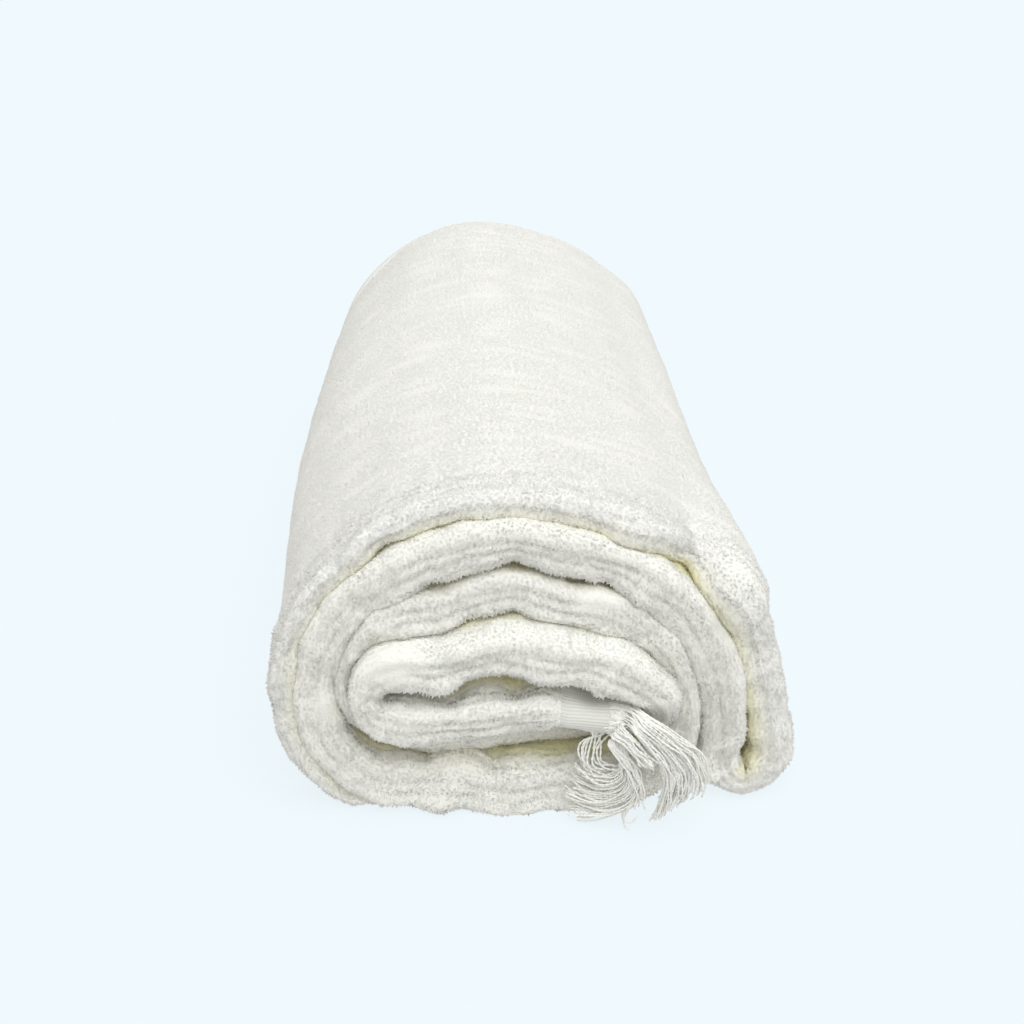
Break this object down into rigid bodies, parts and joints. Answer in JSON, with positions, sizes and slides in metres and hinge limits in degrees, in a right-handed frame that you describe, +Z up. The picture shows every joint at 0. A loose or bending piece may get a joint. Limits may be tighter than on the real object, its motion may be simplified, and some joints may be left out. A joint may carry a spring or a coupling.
{
  "type": "rolled bath towel",
  "caption": "White terry bath towel folded in half along its length and rolled up flat, its spiral end open and a loose fringe spilling from the core.",
  "frame": {"origin": "on the flat underside, below the middle of the roll, in the plane that the roll rests on", "axes": "+Z up out of the resting plane; Y along the roll, with the fold end, where the spiral and the fringe show, towards -Y; +X to the right seen from that end"},
  "size_m": [0.2102, 0.3831, 0.1525],
  "materials": {
    "terry": "matte looped cotton pile",
    "fringe": "matte twisted cotton yarn"
  },
  "bodies": {
    "root": {"towel": "terry", "fringe": "fringe"}
  },
  "joints": []
}
